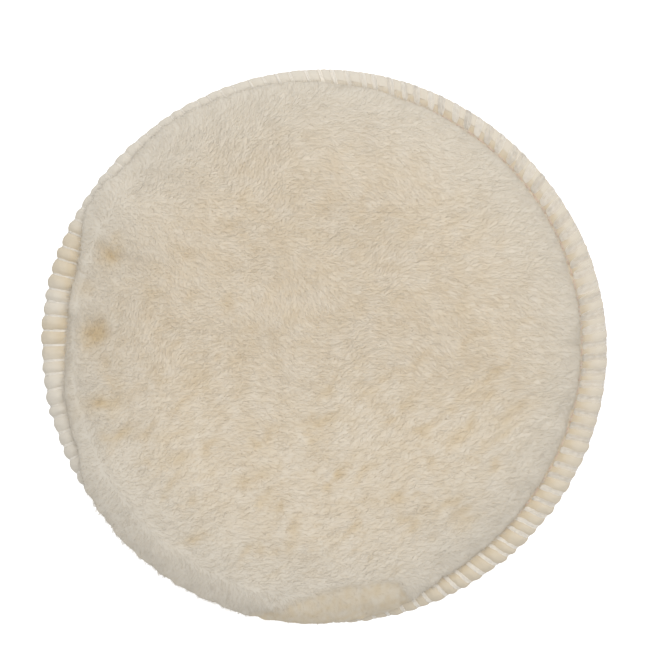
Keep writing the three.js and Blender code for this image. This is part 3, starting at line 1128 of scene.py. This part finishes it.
THREADS = [  # (name, its stitch, below, yarns, yarn radius in mm, turns a stitch, flatness, finish)
    ("upper_looper_thread", stitch_legs, False, 16, 0.064, 0.25, 0.30, looper_finish),
    ("lower_looper_thread", stitch_legs, True, 8, 0.085, 0.25, 0.30, looper_finish),
    ("needle_thread", needle_stitch, False, 3, 0.13, 2.0, 1.0, needle_finish),
]
for name, stitch, below, yarns, radius, turns, flatness, finish in THREADS:
    route = thread_route(name + "_route", stitch, below)
    thread = run_tree(name + "_sewn", route, ply_thread, {
        "Yarns": yarns, "Yarn radius": radius * MM, "Turns": turns * STITCHES,
        "Flatness": flatness, "Sides": 4 if yarns == 3 else 3, "Finish": finish})
    bpy.data.objects.remove(route)
    thread.visible_shadow = False
    keep(thread, "needle_thread" if stitch is needle_stitch else "looper_thread", name)


# %% [markdown]
# ## The layers under the fleece
# The skin, the foam and the loop fabric are round layers. Each is a closed disc of rings with a
# point at the middle of its top and of its bottom, so its thickness is real. The edges of the
# skin and the loop fabric follow the hand-cut outline and pucker a little at every stitch.

# %% Layers
LAYER_COLUMNS = STITCHES * 3
EDGE_INSET = 1.75 * MM        # how far a sewn layer's edge is inside the rim
RIM_LIFT = GROUND_RIM_BOTTOM - GROUND_BOTTOM
FLAT_RADIUS = LOOPS_RADIUS
LIFTED_RADIUS = NEEDLE_RADIUS - 0.75 * MM


def sewn_edge(angle):
    """The edge of a layer that the seam holds, drawn in a little at each stitch."""
    return rim_radius(angle) - EDGE_INSET - 0.12 * MM * np.cos(angle * STITCHES) ** 2


def lift(far):
    """How far the loop fabric has risen towards the seam at a distance from the middle."""
    return RIM_LIFT * falloff(far, FLAT_RADIUS, LIFTED_RADIUS)


def layer(name, shares, edge, top, bottom, grain, seed):
    """A closed disc. Shares of its edge's radius are its rings, grain is its surface relief."""
    angle = np.linspace(0, TURN, LAYER_COLUMNS, endpoint=False)
    rings, points = [], []
    for side, height in ((1, top), (-1, bottom)):
        for share in (shares if side > 0 else reversed(shares)):
            far = share * edge(angle)
            rings.append((far, height(far, angle) + 0 * angle, side))
    for far, height, side in rings:
        points += list(zip(far * np.cos(angle), far * np.sin(angle), height))
    made = make_mesh(name, points, [])
    relief = noise_at(points_of(made), grain[0], seed) * grain[1]
    side_of = np.repeat([ring[2] for ring in rings], LAYER_COLUMNS)
    places = points_of(made)
    places[:, 2] += relief * side_of
    poles = [(0, 0, float(places[0, 2])), (0, 0, float(places[-1, 2]))]
    faces = [tuple(reversed(f)) for f in ring_faces(len(rings), LAYER_COLUMNS, False)]
    last = (len(rings) - 1) * LAYER_COLUMNS
    for j in range(LAYER_COLUMNS):
        beside = (j + 1) % LAYER_COLUMNS
        faces.append((j, beside, len(places)))
        faces.append((last + beside, last + j, len(places) + 1))
    bpy.data.objects.remove(made)
    return make_mesh(name, list(map(tuple, places)) + poles, faces)


SEWN_RINGS = [0.04, 0.1, 0.18, 0.27, 0.36, 0.45, 0.54, 0.63, 0.72, 0.80, 0.853, 0.875, 0.895,
              0.915, 0.935, 0.955, 0.98, 1.0]
skin = layer("sheepskin", SEWN_RINGS, sewn_edge,
             lambda far, angle: SKIN_TOP - 0.05 * MM, lambda far, angle: SKIN_BOTTOM + 0.05 * MM,
             (2.5 * MM, 0.03 * MM), 31)
backing = layer("loop_fabric", SEWN_RINGS, sewn_edge,
                lambda far, angle: GROUND_BOTTOM + 0.6 * MM + lift(far),
                lambda far, angle: GROUND_BOTTOM + lift(far), (3.0 * MM, 0.02 * MM), 32)
FOAM_LOW, FOAM_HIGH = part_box("cushion_foam")
foam = layer("foam_cushion", [0.1, 0.2, 0.3, 0.4, 0.5, 0.6, 0.7, 0.8, 0.9, 0.94, 0.97, 0.99, 1.0],
             lambda angle: FOAM_HIGH.x - 0.1 * MM + 0 * angle,
             lambda far, angle: FOAM_HIGH.z - 0.6 * MM * falloff(far, 65.0 * MM, FOAM_HIGH.x),
             lambda far, angle: np.minimum(FOAM_LOW.z + 0.05 * MM + lift(far),
                                           FOAM_HIGH.z - 0.8 * MM), (1.2 * MM, 0.03 * MM), 33)
print("layers", triangles(skin), triangles(backing), triangles(foam), "triangles")

# %% [markdown]
# ## Leather, foam, film and knit
# The flesh side of a tanned skin is suede, the foam is a mesh of open cells, and the film has
# the faint wrinkles of something rolled on by hand. The knit is drawn as its rows and columns
# of stitches, at the size the thread would make them.

# %% Finishes of the layers
def varied(tree, base, low, high, scale):
    """A colour that is darker and lighter in patches of the given fineness."""
    place = place_on_pad(tree)
    value = spanned(tree, patches(tree, place, scale, 3.0), 0.3, 0.7, low, high)
    return place, lit(tree, base, value)


def suede():
    made, tree, shader = new_material("suede", 0.9, sheen=0.3, Specular_IOR_Level=0.15)
    place, colour = varied(tree, (0.61, 0.48, 0.29, 1), 0.86, 1.10, 160.0)
    paint(tree, shader, colour)
    nap = patches(tree, place, 4200.0, 3.0)
    pores = step(tree, "ShaderNodeTexVoronoi", Vector=place, Scale=1400.0).outputs["Distance"]
    bumpy(tree, shader, maths(tree, "MULTIPLY_ADD", pores, 0.7, nap), 0.5, 0.12 * MM)
    return made


def open_foam():
    made, tree, shader = new_material("open foam", 0.95, Specular_IOR_Level=0.15)
    place, colour = varied(tree, (0.79, 0.74, 0.62, 1), 0.95, 1.03, 120.0)
    cells = step(tree, "ShaderNodeTexVoronoi", {"feature": "SMOOTH_F1"}, Vector=place,
                 Scale=1900.0).outputs["Distance"]
    # Painted shade: the colour is darker where the cells are low, in the pits of the bump.
    paint(tree, shader, lit(tree, colour, spanned(tree, cells, 0.15, 0.55, 0.72, 1.0)))
    bumpy(tree, shader, cells, 0.7, 0.25 * MM)
    return made


def rolled_film():
    made, tree, shader = new_material("hot-melt film", 0.35, Specular_IOR_Level=0.45)
    place, colour = varied(tree, (0.81, 0.79, 0.72, 1), 0.92, 1.04, 90.0)
    paint(tree, shader, colour)
    ripple = patches(tree, place, 220.0, 3.0, Distortion=1.2)
    tree.links.new(spanned(tree, ripple, 0.3, 0.7, 0.28, 0.46), shader.inputs["Roughness"])
    bumpy(tree, shader, ripple, 0.4, 0.3 * MM)
    return made


WALE = 0.95 * MM              # the width of one column of knitted stitches
COURSE = 0.70 * MM            # the height of one row


def knit():
    made, tree, shader = new_material("knitted ground", 0.85, sheen=0.2, Specular_IOR_Level=0.25)
    place, colour = varied(tree, (0.73, 0.69, 0.60, 1), 0.93, 1.04, 240.0)
    across = step(tree, "ShaderNodeSeparateXYZ", Vector=place)
    column = maths(tree, "DIVIDE", across.outputs["X"], WALE)
    beside = maths(tree, "ABSOLUTE", maths(tree, "SUBTRACT", maths(tree, "FRACT", column), 0.5))
    row = maths(tree, "ADD", maths(tree, "DIVIDE", across.outputs["Y"], COURSE), beside)
    yarn = maths(tree, "SINE", maths(tree, "MULTIPLY", row, TURN))
    yarn = maths(tree, "MULTIPLY_ADD", yarn, 0.5, 0.5)
    height = maths(tree, "MULTIPLY", yarn, spanned(tree, beside, 0.5, 0.3))
    # Painted shade: the colour is darker where the knit is low, between the yarns and the columns.
    paint(tree, shader, lit(tree, colour, spanned(tree, height, low=0.78, high=1.02)))
    bumpy(tree, shader, height, 0.7, 0.2 * MM)
    return made


def nylon():
    made, tree, shader = new_material("nylon loops", 0.45, sheen=0.4, Specular_IOR_Level=0.45)
    place, colour = varied(tree, (0.80, 0.76, 0.68, 1), 0.90, 1.04, 500.0)
    value = spanned(tree, attribute(tree, "tint"), low=0.92, high=1.05)
    paint(tree, shader, lit(tree, colour, value))
    return made


for made, finish in ((skin, suede()), (backing, knit()), (foam, open_foam())):
    made.data.materials.append(finish)
film_finish = rolled_film()
for name in ("upper_adhesive_film", "lower_adhesive_film"):
    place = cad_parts[name].material_slots[0]
    place.link = "OBJECT"
    place.material = film_finish
keep(skin, "hide", "sheepskin_hide")
keep(backing, "loop_ground", "loop_fabric_ground")
keep(foam, "foam", "cushion_foam")

# %% [markdown]
# ## The loops
# A hook fastener needs loops that stand up in every direction. One loop is a bent thread with
# its feet apart. The tree scatters thousands on the flat part of the fabric's underside, turns
# each its own way and leans it a little.

# %% Grow the loops
LOOP_SIDES = 3


def loop_tree():
    tree, given, result = new_tree("stand loops", "GeometryNodeTree", [
        ("Fabric", "NodeSocketGeometry", None),
        ("Loops per area", "NodeSocketFloat", 6e5),
        ("Height", "NodeSocketFloat", 1.2 * MM),
        ("Seed", "NodeSocketInt", 5),
        ("Finish", "NodeSocketMaterial", None),
    ], [("Loops", "NodeSocketGeometry")])
    normal = step(tree, "GeometryNodeInputNormal").outputs[0]
    downwards = step(tree, "ShaderNodeSeparateXYZ", Vector=normal).outputs["Z"]
    where = step(tree, "GeometryNodeInputPosition").outputs[0]
    flat = step(tree, "ShaderNodeVectorMath", {"operation": "MULTIPLY"}, in0=where,
                in1=(1, 1, 0)).outputs[0]
    far = step(tree, "ShaderNodeVectorMath", {"operation": "LENGTH"}, in0=flat).outputs["Value"]
    under = maths(tree, "LESS_THAN", downwards, -0.9)
    within = maths(tree, "LESS_THAN", far, LOOPS_RADIUS - 0.5 * MM)
    feet = scatter(tree, given["Fabric"], given["Loops per area"],
                   maths(tree, "MULTIPLY", under, within), given["Seed"])
    bow = step(tree, "GeometryNodeCurveArc", Resolution=6, Radius=0.42,
               Start_Angle=-0.45, Sweep_Angle=math.pi + 0.9).outputs["Curve"]
    bow = step(tree, "GeometryNodeTransform", Geometry=bow, Translation=(0, 0.30, 0),
               Scale=(1, 1.65, 1)).outputs[0]
    bow = step(tree, "GeometryNodeTransform", Geometry=bow,
               Rotation=(-math.pi / 2, 0, 0)).outputs[0]
    section = step(tree, "GeometryNodeCurvePrimitiveCircle", Resolution=LOOP_SIDES,
                   Radius=0.055).outputs["Curve"]
    loop = step(tree, "GeometryNodeGeometryToInstance", in0=tube_of(tree, bow, section)).outputs[0]
    tipped = step(tree, "ShaderNodeCombineXYZ", X=random_between(tree, -0.35, 0.35, 31),
                  Y=random_between(tree, -0.35, 0.35, 32), Z=random_between(tree, 0, TURN, 33))
    turned = step(tree, "FunctionNodeEulerToRotation", Euler=tipped.outputs[0]).outputs[0]
    size = maths(tree, "MULTIPLY", given["Height"], random_between(tree, 0.82, 1.0, 34))
    grown = step(tree, "GeometryNodeInstanceOnPoints", Points=feet.outputs["Points"],
                 Instance=loop, Rotation=turned, Scale=size)
    tree.links.new(tinted_mesh(tree, grown, 35, given["Finish"]), result["Loops"])
    return tree


loops = run_tree("standing_loops", backing, loop_tree(), {
    "Loops per area": 6.0e5, "Height": 1.15 * MM, "Seed": 5, "Finish": nylon()})
loops_low = float(points_of(loops)[:, 2].min())
print("loops hang down to", round(loops_low / MM, 2), "mm")
keep(loops, "loop_pile", "loop_pile")

# %% [markdown]
# The skin and the loop fabric are sheets, cut round before they were sewn.


# %% [markdown]
# ## The table, the light and the camera
# Plain soft studio light from above, a little stronger from the upper right, over a pale floor
# that glows faintly as a light table does. The camera looks straight down through a long lens.

# %% Studio
FRAME_WIDTH = 172.6 * MM      # how much of the table the camera takes in
LENS = 135.0
SENSOR = 36.0
FRAME_LIFT = 5.3 * MM         # the camera aims this far above the pad's middle
FRAME_SHIFT = 0.1 * MM        # and this far to its right
ROOM_LIGHT = 0.60
FLOOR_GLOW = 0.7
FLOOR_REACH = 2               # in metres, from the middle to each side
LAMP_WATTS = 11.0
LAMP_WIDTH = 1.7              # in metres
LAMP_PLACE = (0.28, 0.57, 1.25)


def studio():
    scene = bpy.context.scene
    scene.view_settings.view_transform = "Standard"
    world = bpy.data.worlds.new("soft room")
    world.use_nodes = True
    world.node_tree.nodes["Background"].inputs["Color"].default_value = (1, 1, 1, 1)
    world.node_tree.nodes["Background"].inputs["Strength"].default_value = ROOM_LIGHT
    scene.world = world
    key = bpy.data.lights.new("soft box", "AREA")
    key.shape = "DISK"
    key.size = LAMP_WIDTH
    key.energy = LAMP_WATTS
    lamp = new_object("soft box", key)
    lamp.location = LAMP_PLACE
    lamp.rotation_euler = (-lamp.location).to_track_quat("-Z", "Y").to_euler()
    corners = [(x * FLOOR_REACH, y * FLOOR_REACH, 0)
               for x, y in ((-1, -1), (1, -1), (1, 1), (-1, 1))]
    floor = make_mesh("table", corners, [(0, 1, 2, 3)], smooth=False)
    pale, tree, shader = new_material("table", 0.9, Specular_IOR_Level=0.1)
    shader.inputs["Base Color"].default_value = (0.93, 0.93, 0.93, 1)
    shader.inputs["Emission Color"].default_value = (1, 1, 1, 1)
    shader.inputs["Emission Strength"].default_value = FLOOR_GLOW
    floor.data.materials.append(pale)
    floor.visible_diffuse = False
    floor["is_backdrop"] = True
    eye = bpy.data.cameras.new("camera")
    eye.lens = LENS
    eye.sensor_width = SENSOR
    eye.clip_start = 10 * MM
    camera = new_object("camera", eye)
    height = FRAME_WIDTH * LENS / SENSOR + SKIN_TOP
    camera.location = (FRAME_SHIFT, FRAME_LIFT, height)
    scene.camera = camera


studio()

# %% Finish
low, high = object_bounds()
print("visual box in mm:", [round((b - a) / MM, 1) for a, b in zip(low, high)])
print("triangles in all:", sum(SHOWN.values()))
